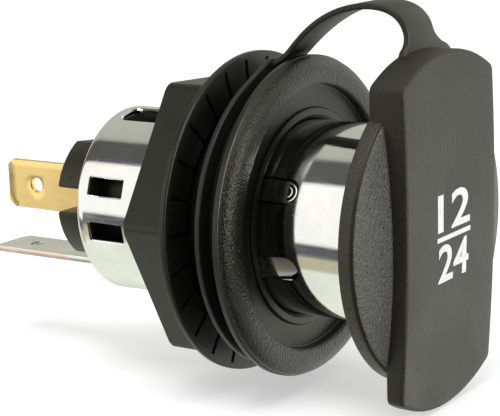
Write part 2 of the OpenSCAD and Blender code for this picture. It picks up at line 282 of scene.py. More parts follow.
def turned(line, columns):
    """Rows of points of a half section turned about the axis."""
    return [[polar(r, a, z) for a in columns] for r, z in line]


def grid(maker, rows, slot=lambda i: 0, closed=True):
    """Faces between rows that are loops, with the last row joined to the first one if closed."""
    for i in range(len(rows) if closed else len(rows) - 1):
        a, b, s = rows[i], rows[(i + 1) % len(rows)], slot(i)
        for j in range(len(a)):
            k = (j + 1) % len(a)
            maker.face([a[j], b[j], b[k], a[k]], None, s)


def inset(loop, by):
    """A counter-clockwise loop drawn in by a distance."""
    pts = np.array(loop, float)
    out = []
    for i, p in enumerate(pts):
        n0, n1 = left_of(p - pts[i - 1]), left_of(pts[(i + 1) % len(pts)] - p)
        m = (n0 + n1) / max(np.linalg.norm(n0 + n1), 1e-9)
        out.append(p + m * by / max(float(m @ n0), 0.4))
    return out


def inside(p, loop):
    """Whether a point lies inside a loop."""
    hit = False
    for i in range(len(loop)):
        (x0, y0), (x1, y1) = loop[i - 1], loop[i]
        if (y0 > p[1]) != (y1 > p[1]) and p[0] < x0 + (p[1] - y0) / (y1 - y0) * (x1 - x0):
            hit = not hit
    return hit


def filled(p, outer, holes):
    """Whether a point lies inside a loop, and in none of its holes."""
    return inside(p, outer) and not any(inside(p, hole) for hole in holes)


def triangles(outer, holes, seeds=()):
    """Points and triangles that fill a loop, without its holes."""
    points, edges = [], []
    for loop in [outer, *holes]:
        base = len(points)
        points += [Vector((float(p[0]), float(p[1]))) for p in loop]
        edges += [(base + i, base + (i + 1) % len(loop)) for i in range(len(loop))]
    points += [Vector(p) for p in seeds]
    found, _, faces, *_ = delaunay_2d_cdt(points, edges, [], 0, 1e-6)
    middles = [sum((found[i] for i in f), Vector((0, 0))) / len(f) for f in faces]
    return found, [f for f, middle in zip(faces, middles) if filled(middle, outer, holes)]


def seeds_in(outer, holes, step):
    """Points of a square grid inside a loop, clear of every edge."""
    pts = np.array(outer, float)
    edge = np.vstack([np.array(loop, float) for loop in [outer, *holes]])
    out = []
    for x in np.arange(pts[:, 0].min(), pts[:, 0].max(), step):
        for y in np.arange(pts[:, 1].min(), pts[:, 1].max(), step):
            near = np.min(np.hypot(edge[:, 0] - x, edge[:, 1] - y))
            if near > 0.4 * step and filled((x, y), outer, holes):
                out.append((float(x), float(y)))
    return out


def plate(maker, outer, holes, top, bottom, edge, place=as_drawn, step=0, arcs=2, slots=(0, 0, 0)):
    """A plate between two surfaces, which are heights or functions of x and y.

    Its edges are rounded by edge, step is the pitch of the points within its faces, and slots are
    the finishes of its top, bottom and side; the side's may be a function of the point.
    """
    top, bottom = (s if callable(s) else (lambda x, y, z=s: z) for s in (top, bottom))
    side = slots[2] if callable(slots[2]) else lambda p: slots[2]
    loops = [list(map(np.array, loop)) for loop in [outer, *holes]]
    if area(loops[0]) < 0:
        loops[0].reverse()
    for hole in loops[1:]:
        if area(hole) > 0:
            hole.reverse()
    edge = np.broadcast_to(edge, 2)
    rims = {1: [], -1: []}
    for loop in loops:
        bands = []
        for way, surface, size in ((1, top, edge[0]), (-1, bottom, edge[1])):
            band = []
            for k in range(arcs + 1):
                t = math.pi / 2 * k / arcs
                drawn = inset(loop, size * (1 - math.sin(t)))
                fall = way * size * (1 - math.cos(t))
                band.append([(p[0], p[1], surface(*p) - fall) for p in drawn])
            bands.append(band)
            rims[way].append([(p[0], p[1]) for p in band[0]])
        rings = bands[0] + bands[1][::-1]
        for a, b in zip(rings, rings[1:]):
            for j in range(len(loop)):
                k = (j + 1) % len(loop)
                maker.face([place(*a[j]), place(*a[k]), place(*b[k]), place(*b[j])], None,
                           side(loop[j]))
    for way, surface, slot in ((1, top, slots[0]), (-1, bottom, slots[1])):
        outer_rim, hole_rims = rims[way][0], rims[way][1:]
        seeds = seeds_in(outer_rim, hole_rims, step) if step else ()
        pts, faces = triangles(outer_rim, hole_rims, seeds)
        for f in faces:
            ids = f if way > 0 else f[::-1]
            maker.face([place(pts[i][0], pts[i][1], surface(*pts[i])) for i in ids], None, slot)


# Finishes


class Nodes:
    """A node tree, and the nodes that the finishes, the world and the floor share."""

    def __init__(self, tree):
        self.tree = tree

    def node(self, kind, inputs=(), **settings):
        """A node whose inputs, named or numbered, are set to constants or linked to sockets."""
        made = self.tree.nodes.new(kind)
        for key, value in settings.items():
            setattr(made, key, value)
        for key, value in dict(inputs).items():
            if isinstance(value, bpy.types.NodeSocket):
                self.tree.links.new(value, made.inputs[key])
            else:
                made.inputs[key].default_value = value
        return made

    def calc(self, operation, *values):
        return self.node("ShaderNodeMath", enumerate(values), operation=operation).outputs[0]

    def mixed(self, share, a, b):
        """A shader between those of two nodes."""
        return self.node("ShaderNodeMixShader", {0: share, 1: a.outputs[0], 2: b.outputs[0]})

    def spread(self, value, low, high, to_low=0.0, to_high=1.0, kind="LINEAR"):
        """Maps low to high onto another range, and clamps it there."""
        inputs = {"Value": value, "From Min": low, "From Max": high, "To Min": to_low,
                  "To Max": to_high}
        return self.node("ShaderNodeMapRange", inputs, interpolation_type=kind).outputs["Result"]

    def tints(self, value, stops):
        made = self.node("ShaderNodeValToRGB", {"Fac": value})
        elements = made.color_ramp.elements
        while len(elements) < len(stops):
            elements.new(0.5)
        for element, (at, colour) in zip(elements, stops):
            element.position = at
            element.color = (*colour, 1)
        return made.outputs["Color"]


class Look(Nodes):
    """A procedural finish on object coordinates."""

    def __init__(self, name, colour, metallic, roughness, **more):
        self.mat = bpy.data.materials.new(name)
        self.mat.use_nodes = True
        super().__init__(self.mat.node_tree)
        self.shader = self.tree.nodes["Principled BSDF"]
        values = {"Base Color": (*colour, 1), "Metallic": metallic, "Roughness": roughness, **more}
        for key, value in values.items():
            self.shader.inputs[key.replace("_", " ")].default_value = value
        self.where = self.node("ShaderNodeTexCoord").outputs["Object"]

    def stretched(self, scale):
        """Coordinates scaled by an amount for each axis, for marks drawn along one of them."""
        inputs = {"Vector": self.where, "Scale": scale}
        return self.node("ShaderNodeMapping", inputs).outputs["Vector"]

    def noise(self, scale, detail=2.0, rough=0.5, at=None):
        inputs = {"Vector": at or self.where, "Scale": scale, "Detail": detail, "Roughness": rough}
        return self.node("ShaderNodeTexNoise", inputs).outputs["Fac"]

    def cells(self, scale, at=None, feature="SMOOTH_F1"):
        inputs = {"Vector": at or self.where, "Scale": scale}
        return self.node("ShaderNodeTexVoronoi", inputs, feature=feature).outputs["Distance"]

    def sum(self, a, b, share=1.0):
        return self.calc("MULTIPLY_ADD", b, share, a)

    def colour(self, value):
        self.tree.links.new(value, self.shader.inputs["Base Color"])

    def rough(self, value):
        self.tree.links.new(value, self.shader.inputs["Roughness"])

    def bump(self, height, depth):
        made = self.node("ShaderNodeBump", {"Height": height, "Distance": depth, "Strength": 1.0})
        self.tree.links.new(made.outputs["Normal"], self.shader.inputs["Normal"])


def grained(name, dark, light, roughness, grain, depth, gloss=0.5):
    """Black moulding with a spark-eroded grain."""
    look = Look(name, dark, 0.0, roughness[0], Specular_Tint=(1.0, 1.0, 0.84, 1.0),
                Specular_IOR_Level=gloss)
    fine = look.noise(grain, 3.0, 0.6)
    pits = look.cells(grain * 0.75)
    height = look.sum(fine, pits, -0.6)
    patch = look.noise(70.0, 3.0, 0.55)
    look.colour(look.tints(look.sum(look.spread(fine, 0.35, 0.7, 0.0, 0.8), patch, 0.2),
                           [(0.15, dark), (0.85, light)]))
    look.rough(look.spread(patch, 0.35, 0.65, roughness[0], roughness[1]))
    look.bump(height, depth)
    return look.mat


def moulded(name, dark, light, roughness):
    """Satin moulding with faint flow marks."""
    look = Look(name, dark, 0.0, roughness[0], Specular_Tint=(1.0, 1.0, 0.84, 1.0))
    patch = look.noise(90.0, 4.0, 0.6)
    fine = look.noise(2600.0, 2.0, 0.5)
    look.colour(look.tints(patch, [(0.3, dark), (0.75, light)]))
    look.rough(look.spread(look.sum(patch, fine, 0.35), 0.4, 0.9, roughness[0], roughness[1]))
    look.bump(look.sum(fine, patch, 0.6), 0.000012)
    return look.mat


HOUSING_GRAIN = grained("housing_grain", (0.003, 0.003, 0.002), (0.011, 0.011, 0.009),
                        (0.28, 0.38), 4500.0, 0.00011)
HOUSING_PLAIN = moulded("housing_plain", (0.004, 0.004, 0.003), (0.008, 0.008, 0.006), (0.34, 0.46))
CAP_GRAIN = grained("cap_grain", (0.010, 0.010, 0.009), (0.022, 0.022, 0.020),
                    (0.46, 0.56), 4900.0, 0.00005)
# The grip's rear and sides: the cap's plastic painted darker and browner than its front, as painted
# shade
CAP_SIDE_SHADED = grained("cap_side_painted_shade", (0.006, 0.0055, 0.004), (0.019, 0.017, 0.013),
                   (0.50, 0.60), 4900.0, 0.00006)
# The disc's front: the cap's plastic painted lighter than the grip, as painted light from the front
# lamp
DISC_FRONT_LIT = grained("disc_front_painted_light", (0.019, 0.019, 0.018), (0.082, 0.082, 0.079),
                     (0.38, 0.48), 4700.0, 0.00017, 0.7)
# The disc's side: the cap's plastic painted darker and browner than the disc's front, as painted
# shade
DISC_EDGE_SHADED = grained("disc_edge_painted_shade", (0.016, 0.014, 0.010), (0.042, 0.038, 0.028),
                    (0.40, 0.52), 4900.0, 0.00010)
CAP_PLAIN = moulded("cap_plain", (0.006, 0.006, 0.005), (0.011, 0.011, 0.009), (0.42, 0.52))
INSULATOR = moulded("insulator_black", (0.010, 0.008, 0.004), (0.014, 0.012, 0.006), (0.36, 0.48))


def nickel():
    """Bright plate with drawing marks along the tube and a few fine scratches."""
    look = Look("nickel_plate", (0.80, 0.80, 0.785), 1.0, 0.07)
    drawn = look.noise(1.0, 3.0, 0.6, look.stretched((2600.0, 120.0, 2600.0)))
    cloud = look.noise(160.0, 3.0, 0.6)
    scratch = look.cells(1.0, look.stretched((900.0, 140.0, 1500.0)), "DISTANCE_TO_EDGE")
    worn = look.spread(scratch, 0.0, 0.035, 1.0, 0.0)
    look.colour(look.tints(cloud, [(0.3, (0.74, 0.745, 0.72)), (0.7, (0.85, 0.85, 0.825))]))
    look.rough(look.sum(look.spread(look.sum(cloud, drawn, 0.5), 0.5, 1.1, 0.04, 0.11), worn, 0.07))
    look.bump(look.sum(look.sum(drawn, cloud, 2.0), worn, -0.5), 0.0000014)
    return look.mat


def strip(name, low, high, roughness, depth):
    """Rolled metal strip with rolling marks along the blade."""
    look = Look(name, low, 1.0, roughness[0])
    lines = look.noise(1.0, 4.0, 0.65, look.stretched((9000.0, 260.0, 9000.0)))
    cloud = look.noise(260.0, 4.0, 0.6)
    mixed = look.sum(cloud, lines, 0.5)
    look.colour(look.tints(mixed, [(0.45, low), (0.95, high)]))
    look.rough(look.spread(mixed, 0.5, 1.0, roughness[0], roughness[1]))
    look.bump(mixed, depth)
    return look.mat


NICKEL = nickel()
BRASS = strip("brass_strip", (0.90, 0.61, 0.22), (0.99, 0.74, 0.32), (0.17, 0.26), 0.000003)
TINNED = strip("tinned_strip", (0.72, 0.72, 0.67), (0.88, 0.88, 0.82), (0.22, 0.34), 0.000003)
BARE_EDGE = strip("bare_edge", (0.84, 0.62, 0.52), (0.95, 0.80, 0.71), (0.30, 0.42), 0.000004)


def ink():
    """White print that shows a little of the moulding under it."""
    look = Look("white_print", (0.82, 0.82, 0.80), 0.0, 0.45)
    fine = look.noise(3300.0, 2.0, 0.5)
    look.colour(look.tints(fine, [(0.3, (0.52, 0.53, 0.53)), (0.6, (0.68, 0.69, 0.69))]))
    look.bump(fine, 0.00002)
    return look.mat


PRINT = ink()

# Housing: flange, collar, hub, threaded neck and key


def thread(a, z):
    """How far a point lies from the middle of the neck's thread groove, in pitches."""
    return abs(((z - THREAD_Z) / PITCH - a / TURN + 0.5) % 1.0 - 0.5)


def housing():
    back, ledge, crest_low, collar_top, neck_end = 0.82, 3.2, 3.96, 4.4, -10.8
    thread_low, thread_high = -10.15, -3.9
    section = [
        (NECK_R, back, 0.12), (HUB_R, back, 0.15), (HUB_R, ledge, 0.25), (FLANGE_R, ledge, 0.16),
        (FLANGE_R, 3.9, 0.06),
    ]
    wide, high = FLANGE_R - 0.12 - CREST_R, CREST_Z - crest_low
    for k in range(9):
        t = math.pi / 2 * k / 8
        section.append((CREST_R + wide * math.cos(t), crest_low + high * math.sin(t)))
    section += [
        (RECESS_R, CREST_Z, 0.4), (RECESS_R, RECESS_Z, 0.2), (COLLAR_R, RECESS_Z, 0.15),
        (COLLAR_R, collar_top, 0.25), (HOUSING_BORE_R + 0.5, collar_top, 0.1),
        (HOUSING_BORE_R, 3.9, 0.1), (HOUSING_BORE_R, neck_end + 0.5, 0.1),
        (HOUSING_BORE_R + 0.5, neck_end, 0.1), (NECK_R - 0.6, neck_end, 0.1),
        (NECK_R, neck_end + 0.6, 0.1),
    ]
    line = rounded(section, 5)
    line += [np.array((NECK_R, z)) for z in np.arange(-10.1, -3.6, 0.09)]
    rows = []
    for r, z in line:
        row = []
        for a in even(240):
            cut = 0
            if abs(r - NECK_R) < 1e-6 and thread_low < z < thread_high:
                fade = min(1.0, (z - thread_low) / 0.5, thread_high - z)
                cut = 0.45 * fade * min(1.0, max(0.0, (0.42 - thread(a, z)) / 0.34))
            row.append(polar(r - cut, a, z))
        rows.append(row)

    def finish(i):
        """Grain on the flange's front, plain moulding elsewhere."""
        r, z = (line[i] + line[(i + 1) % len(line)]) / 2
        return 0 if z > 3.94 and r > COLLAR_R + 0.1 else 1

    maker = Maker()
    grid(maker, rows, finish)
    turn = math.radians(5)
    across = np.array([math.sin(turn), math.cos(turn)])
    away = np.array([-math.cos(turn), math.sin(turn)])
    half = 1.75
    lug = [(13.2, -half, 0.1), (KEY_R, -half, 0.35), (KEY_R, half, 0.35), (13.2, half, 0.1)]

    def place(r, s, z):
        return (*(away * r + across * s), z)

    plate(maker, rounded(lug, 4), [], 0.9, -2.7, 0.22, place, 0, 3, (1, 1, 1))
    obj = maker.build("housing_moulding", [HOUSING_GRAIN, HOUSING_PLAIN])
    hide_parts("housing")
    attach(obj, "housing_body")


# Nut: hexagon and flange with radial grooves in its front


def nut():
    spin = math.radians(2.7)
    corner = NUT_FLAT_R / math.cos(math.pi / 6)
    first = math.radians(-12.7)
    # Columns of points: an angle, the way aside from its radius, and the groove's depth there
    groove = ((-0.31, 0.0), (-0.25, 0.05), (-0.22, 0.3), (0.22, 0.3), (0.25, 0.05), (0.31, 0.0))
    columns = [(first - k * TURN / NUT_GROOVES, s, drop) for k in range(NUT_GROOVES)
               for s, drop in groove]
    for k in range(360):
        a = TURN * (k + 0.5) / 360
        near = abs(((a - first) * NUT_GROOVES / TURN + 0.5) % 1.0 - 0.5) * TURN / NUT_GROOVES
        if near > 0.03:
            columns.append((a, 0.0, 0.0))

    def angle_of(column, r):
        return column[0] + math.asin(column[1] / r)

    columns.sort(key=lambda c: angle_of(c, 19.0) % TURN)

    def hexagon(a):
        """Radius of the hexagon at an angle, with rounded corners."""
        plain = NUT_FLAT_R / math.cos((a - spin) % (TURN / 6) - TURN / 12)
        return plain - 0.05 * math.log1p(math.exp((plain - corner + 0.1) / 0.05))

    front = NUT_FRONT_Z
    step = front - 0.8
    back = front - NUT_HEIGHT
    corners = [
        (NUT_RELIEF_R, front - 2.6, 0.1), (NUT_RELIEF_R, front, 0.12), (NUT_FLANGE_R, front, 0.2),
        (NUT_FLANGE_R, step, 0.2), (17.2, step, 0.02),
    ]
    flange = [(NUT_RELIEF_R, front - 2.55), *rounded(corners, 4, closed=False)[1:]]
    at = max(i for i, (r, z) in enumerate(flange) if r < 15.5) + 1
    flange[at:at] = [(16.4, front), (17.5, front), (18.5, front), (18.56, front)]
    rows = []
    for r, z in flange:
        on_front = z > front - 0.5 and NUT_RELIEF_R - 0.01 < r < 18.53
        rows.append([polar(r, angle_of(c, r), z - (c[2] if on_front else 0.0)) for c in columns])
    angles = [angle_of(c, 16.5) for c in columns]
    hexes = [hexagon(a) for a in angles]

    def add_row(radii, z):
        rows.append([polar(r, a, z) for r, a in zip(radii, angles)])

    def add_circle(r, z):
        add_row([r] * len(angles), z)

    for k in range(5):
        t = math.pi / 2 * k / 4
        fillet = 0.3 * (1 - math.sin(t))
        add_row([h + fillet for h in hexes], step - 0.3 * (1 - math.cos(t)))
    for z in np.linspace(front - 1.4, back + 0.7, 8):
        add_row(hexes, z)
    for z in np.linspace(back + 0.6, back + 0.1, 9):
        cone = corner - 0.38 + (z - back)
        add_row([h - 0.06 * math.log1p(math.exp(min((h - cone) / 0.06, 60))) for h in hexes], z)
    last = [min(h, corner - 0.34) for h in hexes]
    add_row([h - 0.05 for h in last], back + 0.04)
    add_row([h - 0.16 for h in last], back)
    for r, z in ((15.2, back), (14.75, back), (14.45, back + 0.08), (NUT_BORE_R, back + 0.5)):
        add_circle(r, z)
    for z in np.arange(back + 0.7, front - 2.75, 0.1):
        add_row([NUT_BORE_R + 0.3 * max(0.0, (thread(a, z) - 0.2) / 0.3) for a in angles], z)
    add_circle(NUT_BORE_R, front - 2.65)
    add_circle(NUT_BORE_R + 0.05, front - 2.6)
    add_circle(NUT_RELIEF_R - 0.05, front - 2.6)
    maker = Maker()
    grid(maker, rows)
    obj = maker.build("nut_moulding", [HOUSING_PLAIN], 30)
    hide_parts("hex_nut")
    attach(obj, "nut_body")


# Socket tube: one drawn wall with windows and lanced tongues


def tube():
    start = math.radians(49)
    count = 160
    around = SHELL_R * TURN
    low, high = REAR_Z + REAR_BEND, MOUTH_Z - 1.2
    pattern = math.radians(4)
    hinge, half_slot, half_tongue = 1.4, 1.55, 1.35
    bend_z, bend_length = 1.0, 7.8
    # Height of the centre of a tongue's round end, and the radius where that end starts to drop
    round_z, level_r = 7.45, 0.3
    # Slope of a tongue's round end against the distance from its centre
    waves = [(0.3, 0.42, 0.6, 0.78, 0.92, 1.08, 1.24), (0.0, -0.25, 0.11, -0.25, -0.25, 0.11, -0.25)]
    roll = [(1.15, 1.35), (0.0, 0.3)]
    # Width of the chamfers on the windows and on the tongues' slots, and their depth in the wall
    window_chamfer, slot_chamfer, chamfer_depth = 0.18, 0.05, 0.18
    wall = SHELL_R - BORE_R
    windows, slots, tongues = [], [], []

    def u_of(a):
        return SHELL_R * ((a - start) % TURN)

    for quarter in range(4):
        for side in (-1, 1):
            c = u_of(pattern + quarter * TURN / 4 + side * math.radians(14))
            wide, back, front, curve = 1.1, -20.4, -15.5, 0.22
            if quarter == 1 and side == -1:
                c, wide, back, front, curve = c - 0.5, 1.9, -20.6, -14.4, 1.2
            box = [(c - wide, back, curve), (c + wide, back, curve), (c + wide, front, 0.22),
                   (c - wide, front, 0.22)]
            windows.append([tuple(p) for p in rounded(box, 6)])

    def arc(c, r, first, last, steps):
        turns = [first + (last - first) * k / steps for k in range(steps + 1)]
        return [(c + r * math.cos(t), round_z + r * math.sin(t)) for t in turns]

    for half in (0, 1):
        for side in (-1, 1):
            c = u_of(pattern + half * math.pi + side * math.radians(22.9))
            # A tongue's centre, how deep it is bent, and its slope where that isn't the bend's own
            tongues.append((c, 0.95, 0.29) if side < 0 else (c, 0.3, 0.0))
            left, right = c - half_slot, c + half_slot
            inner_left, inner_right = c - half_tongue, c + half_tongue
            slots.append([
                (left, hinge), (left, 4.4), *arc(c, half_slot, math.pi, 0.0, 18), (right, 4.4),
                (right, hinge), (inner_right, hinge), (inner_right, 2.6), (inner_right, 4.4),
                (inner_right, 6.0), *arc(c, half_tongue, 0.0, math.pi, 16), (inner_left, 6.0),
                (inner_left, 4.4), (inner_left, 2.6), (inner_left, hinge),
            ])

    def sunk(u, z):
        """How far the wall is bent in at a point of a tongue, and the slopes of the bend."""
        for c, deep, tilt in tongues:
            away = math.hypot(u - c, z - round_z)
            reach = abs(u - c) if z <= round_z else away
            if reach < half_tongue + 0.01 and z > bend_z:
                t = (z - bend_z) / bend_length
                drop, along, across = deep * t * t, tilt or 2.0 * deep * t / bend_length, 0.0
                if z > round_z and away > level_r:
                    slope = float(np.interp(away, *(waves if tilt == 0.0 else roll)))
                    drop += 0.22 * ((away - level_r) / 1.05) ** 2
                    along += slope * (z - round_z) / away
                    across += slope * (u - c) / away
                return drop, along, across
        return 0.0, 0.0, 0.0

    holes = windows + slots
    heights = np.linspace(low, high, 27)[1:-1]
    outer = [(around * i / count, low) for i in range(count + 1)]
    outer += [(around, z) for z in heights]
    outer += [(around * i / count, high) for i in range(count, -1, -1)]
    outer += [(0.0, z) for z in heights[::-1]]
    edges = np.array([p for h in holes for p in h])
    seeds = []
    for i in range(1, count):
        u = around * i / count
        for z in heights:
            near = np.min(np.hypot(edges[:, 0] - u, edges[:, 1] - z))
            if near >= 0.3 and not any(inside((u, z), h) for h in holes):
                seeds.append((u, float(z)))
    for c, _, _ in tongues:
        for r in (0.35, 0.42, 0.5, 0.6, 0.7, 0.8, 0.92, 1.0, 1.08, 1.18, 1.27):
            seeds += arc(c, r, 0.0, math.pi, 24)
    inner = triangles(outer, holes, seeds)
    grown = []
    for h, by in zip(holes, [window_chamfer] * len(windows) + [slot_chamfer] * len(slots)):
        way = 1 if area(h) > 0 else -1
        grown.append([tuple(map(float, p)) for p in inset(h[::way], -by)][::way])
    face = triangles(outer, grown, seeds)
    maker = Maker()

    def spot(u, z, drop):
        """A point of the wall at a depth from its outside, and the wall's normal there."""
        a = start + TURN * ((u / around) % 1.0 if u < around - 1e-6 else 0.0)
        sink, along, across = sunk(u, z)
        way = 1 if drop == 0 else -1
        n = (-math.cos(a) + across * math.sin(a), math.sin(a) + across * math.cos(a), along)
        return polar(SHELL_R - sink - drop, a, z), tuple(way * v for v in n)

    for drop, (pts, faces) in ((0, face), (wall, inner)):
        for f in faces:
            both = [spot(pts[i][0], pts[i][1], drop) for i in f]
            maker.face([b[0] for b in both], [b[1] for b in both])
    for h, g in zip(holes, grown):
        way = 1 if area(h) > 0 else -1
        for i in range(len(h)):
            p, q = h[i - 1], h[i]
            n = way * left_of(np.array(q) - np.array(p))
            a = start + (p[0] + q[0]) / 2 / SHELL_R
            flat = np.array((math.sin(a) * n[0], math.cos(a) * n[0], n[1]))
            out = np.array((-math.cos(a), math.sin(a), 0.0))
            for near, far, ends, first, last in (
                (0.0, chamfer_depth, (g[i - 1], g[i]), 1.3, 0.7),
                (chamfer_depth, wall, (p, q), 0.0, 0.0),
            ):
                quad = [spot(*at, near)[0] for at in ends] + [spot(*at, far)[0] for at in (q, p)]
                lit, dim = flat + out * first, flat + out * last
                maker.face(quad, [lit, lit, dim, dim])
    columns = even(count, start)
    rim = [
        (BORE_R, high), (BORE_R, MOUTH_Z, 0.5), (RIM_R, MOUTH_Z, 0.4),
        (RIM_R, MOUTH_Z - 0.8, 0.39), (SHELL_R, MOUTH_Z - 0.8, 0.4), (SHELL_R, high),
    ]
    rear = [
        (SHELL_R, low), (SHELL_R, REAR_Z, REAR_BEND), (REAR_LIP_R, REAR_Z, 0.12),
        (REAR_LIP_R, REAR_Z + wall, 0.12), (BORE_R, REAR_Z + wall, 0.7), (BORE_R, low),
    ]
    for line in (rim, rear):
        turn_about(maker, rounded(line, 8, closed=False), columns, False, -1)
    obj = maker.build("socket_tube", [NICKEL])
    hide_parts("socket_shell")
    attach(obj, "insert_body")


# Rear insulator, blades and centre contact


def insulator():
    reach, skew = math.asin(BOSS_FLAT / BOSS_R), math.radians(5.5)
    # The notch in the boss, between two heights, and the slot for the positive blade across it
    notch_low, notch_top, slot_half = -0.8, 2.2, 0.44

    def arc(first, last, count, side, radius_first, radius_last):
        """Corners along the boss's round between two angles, the ends with a radius."""
        out = [(side * BOSS_R * math.cos(t), BOSS_R * math.sin(t), 0.0)
               for t in np.linspace(first, last, count)]
        out[0] = (*out[0][:2], radius_first)
        out[-1] = (*out[-1][:2], radius_last)
        return out

    notch = [
        (-slot_half, notch_top, 0.1), (-slot_half, 3.39), (slot_half, 3.39), (slot_half, -3.09),
        (-slot_half, -3.09), (-slot_half, notch_low, 0.1),
    ]
    outline = rounded(
        arc(-reach - skew, reach - skew, 15, 1, 0.5, 0.5)
        + arc(reach + skew, math.asin(notch_top / BOSS_R), 8, -1, 0.5, 0.25)
        + notch
        + arc(math.asin(notch_low / BOSS_R), skew - reach, 8, -1, 0.25, 0.5),
        4,
    )
    maker = Maker()
    plate(maker, outline, [], -21.85, BOSS_END, (0.02, 0.35), step=1.6, arcs=4)
    seat = [
        (0.46, -21.78), (10.15, -21.78, 0.1), (10.95, -20.98, 0.1), (10.95, -20.38, 0.1),
        (BOSS_R, -20.38, 0.2), (BOSS_R, -14.79, 0.4), (1.7, -14.79, 0.2), (1.7, -16.5),
        (0.46, -16.5),
    ]
    turn_about(maker, rounded(seat, 4), even(96))
    mark = rounded([(0.0, 0.12), (0.32, 0.12, 0.06), (0.36, 0.0)], 3, closed=False)
    turn = math.radians(24)
    away = np.array([-math.cos(turn), math.sin(turn)])
    across = np.array([math.sin(turn), math.cos(turn)])

    def stud(r, h, t):
        """A point of the moulded mark, on the boss's side."""
        p = away * (BOSS_R - 0.06 + h) + across * r * math.cos(t)
        return (p[0], p[1], -26.2 + r * math.sin(t))

    grid(maker, [[stud(r, h, t) for t in even(24)] for r, h in mark], closed=False)
    obj = maker.build("insulator_moulding", [INSULATOR])
    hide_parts("rear_insulator")
    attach(obj, "insert_body")


def blade(maker, length, place, edge, arcs, bare=0.0, slots=(0, 0, 0)):
    """A flat blade along -x with a hole and a thinned free end; its edge has a point at -bare."""

    def half(x, y):
        return 0.2 + 0.2 * min(1.0, max(0.0, (x + length) / 0.9))

    split = [(-bare, BLADE_HALF)] if bare else []
    outline = [
        (0.0, -BLADE_HALF), (0.0, BLADE_HALF), *split, (-length + 1.1, BLADE_HALF),
        (-length, 2.43), (-length, -2.43), (-length + 1.1, -BLADE_HALF),
        *[(x, -y) for x, y in split],
    ]
    hole = [(-length + 5.0 + TERMINAL_HOLE_R * math.cos(t), TERMINAL_HOLE_R * math.sin(t))
            for t in even(28)]
    plate(maker, outline, [hole], half, lambda x, y: -half(x, y), edge, place, 0.9, arcs, slots)


def positive():
    maker = Maker()
    blade(maker, 26.48, lambda u, v, w: (-w, v + 0.15, u - 16.52), 0.1, 3)
    obj = maker.build("positive_tab", [BRASS])
    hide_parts("positive_blade")
    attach(obj, "insert_body")


def ground():
    length, bare = 21.5, 8.8
    maker = Maker()

    def side(p):
        """Bare metal where the blade is cut from its strip, but not in its hole."""
        clear = math.hypot(p[0] + length - 5.0, p[1]) > TERMINAL_HOLE_R + 0.15
        return 1 if p[0] < 0.1 - bare and clear else 0

    blade(maker, length, lambda u, v, w: (-v, w - 8.25, u - 22.32), 0.09, 2, bare, (0, 0, side))
    foot = rounded([(-BLADE_HALF, -10.55, 0.3), (BLADE_HALF, -10.55, 0.3),
                    (BLADE_HALF, -8.05, 0.15), (-BLADE_HALF, -8.05, 0.15)], 4)
    plate(maker, foot, [], -22.32, -23.12, (0.06, 0.3), arcs=3)
    obj = maker.build("ground_tab", [TINNED, BARE_EDGE])
    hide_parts("ground_blade")
    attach(obj, "insert_body")


def contact():
    head = REAR_Z + 7.54
    line = [(0.0, -16.5), (1.6, -16.5, 0.1), (1.6, head, 0.05), (3.0, head, 0.12), (3.0, head + 0.8)]
    points = rounded(line, 4, closed=False)
    points += [np.array((3.0 * math.cos(t), head + 0.8 + 1.6 * math.sin(t)))
               for t in np.linspace(0, math.pi / 2, 10)[1:]]
    maker = Maker()
    turn_about(maker, points, even(64), False, 1)
    obj = maker.build("contact_button", [BRASS])
    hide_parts("centre_contact")
    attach(obj, "insert_body")


# Cap: disc, grip plate with its print, and plug


def grip_outline():
    reach = math.asin(GRIP_HALF / GRIP_R)
    quarter = []
    for t in np.linspace(0, reach - math.radians(1.7), 16):
        quarter.append((GRIP_R * math.sin(t), GRIP_R * math.cos(t)))
    a = np.array(quarter[-1])
    corner = np.array([GRIP_HALF, GRIP_R * math.cos(reach)])
    b = np.array([GRIP_HALF, corner[1] - 0.65])
    for t in np.linspace(0, 1, 8)[1:]:
        quarter.append(tuple((1 - t) ** 2 * a + 2 * t * (1 - t) * corner + t * t * b))
    for y in np.linspace(b[1], 0, 14)[1:]:
        quarter.append((GRIP_HALF, y))
    right = quarter + [(x, -y) for x, y in quarter[-2::-1]]
    left = [(-x, y) for x, y in right[-2:0:-1]]
    return right + left


def grip_front(x, y):
    """The front of the grip plate, crowned along its length."""
    return GRIP_FRONT - (y - 5.0) ** 2 / 572.0


def grip_rear(x, y):
    """The back of the grip plate, which steps forward to its lower end."""
    t = min(1.0, max(0.0, (-5.0 - y) / 3.0))
    return GRIP_REAR + 1.6 * t * t * (3 - 2 * t)


